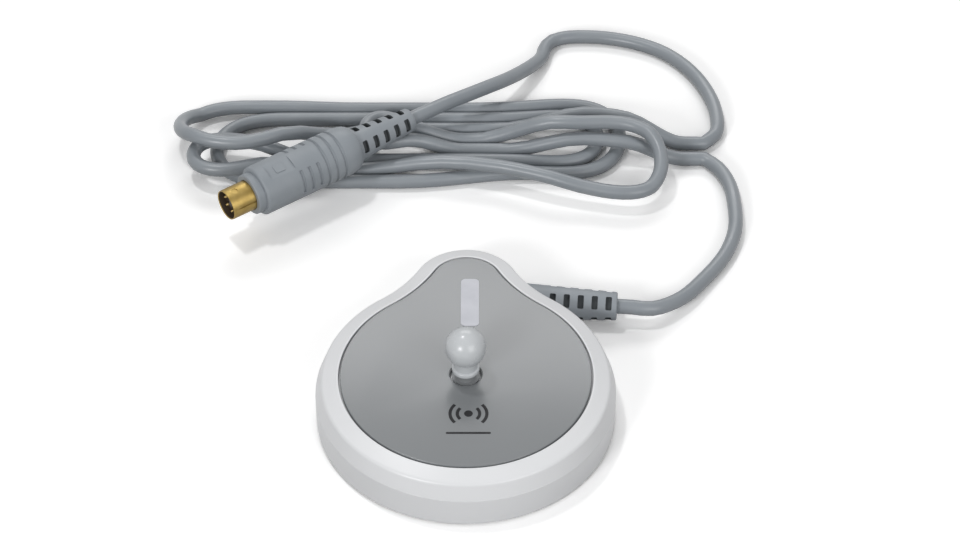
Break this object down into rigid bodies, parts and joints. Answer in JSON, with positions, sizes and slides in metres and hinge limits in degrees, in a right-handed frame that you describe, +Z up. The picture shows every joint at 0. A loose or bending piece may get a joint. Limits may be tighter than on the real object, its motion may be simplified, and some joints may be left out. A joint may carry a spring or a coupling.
{
  "type": "ultrasound transducer",
  "caption": "Flat drop-shaped belt-worn ultrasound transducer with a ball stud on its back, a slotted strain relief, a cable wound in a hank and a round multi-pin plug.",
  "frame": {"origin": "on the belt stud's axis, in the plane of the acoustic face that the transducer rests on", "axes": "+X to the side the cable leaves on, +Y towards the nose, +Z up out of the plate along the stud"},
  "size_m": [0.1765, 0.215, 0.0325],
  "materials": {
    "white_shell": "satin",
    "grey_plate": "satin",
    "stud_plastic": "satin",
    "cable_sheath": "satin",
    "boot_rubber": "matt",
    "gold_plating": "polished",
    "dark_plastic": "matt",
    "steel": "bright",
    "acoustic_face": "smooth",
    "seal_rubber": "matt",
    "crystal_silver": "silvered ceramic",
    "carrier_plastic": "matt",
    "damping_foam": "matt",
    "board_laminate": "lacquered",
    "coil_copper": "wound wire",
    "wire_cover": "satin"
  },
  "bodies": {
    "root": {"belt_stud": "stud_plastic", "board_screw_1": "steel", "board_screw_2": "steel", "board_screw_3": "steel", "board_socket": "dark_plastic", "bottom_housing": "white_shell", "cable_clamp": "dark_plastic", "cable_hank": "cable_sheath", "cable_lead": "cable_sheath", "cable_stub": "cable_sheath", "cable_tail": "cable_sheath", "circuit_board": "board_laminate", "clamp_screw_1": "steel", "clamp_screw_2": "steel", "crystal_1": "crystal_silver", "crystal_2": "crystal_silver", "crystal_3": "crystal_silver", "crystal_4": "crystal_silver", "crystal_5": "crystal_silver", "crystal_6": "crystal_silver", "crystal_7": "crystal_silver", "crystal_carrier": "carrier_plastic", "damping_pad": "damping_foam", "face_plate": "acoustic_face", "housing_seal": "seal_rubber", "label_plate": "grey_plate", "plug_body": "boot_rubber", "plug_boot": "boot_rubber", "plug_insert": "dark_plastic", "plug_pin_1": "gold_plating", "plug_pin_2": "gold_plating", "plug_pin_3": "gold_plating", "plug_pin_4": "gold_plating", "plug_pin_5": "gold_plating", "plug_pin_6": "gold_plating", "plug_shell": "gold_plating", "shield_can": "steel", "strain_relief": "boot_rubber", "stud_screw": "steel", "stud_washer": "steel", "top_housing": "white_shell", "tuning_coil": "coil_copper", "wire_1": "wire_cover", "wire_2": "wire_cover", "wire_3": "wire_cover", "wire_4": "wire_cover"}
  },
  "joints": []
}
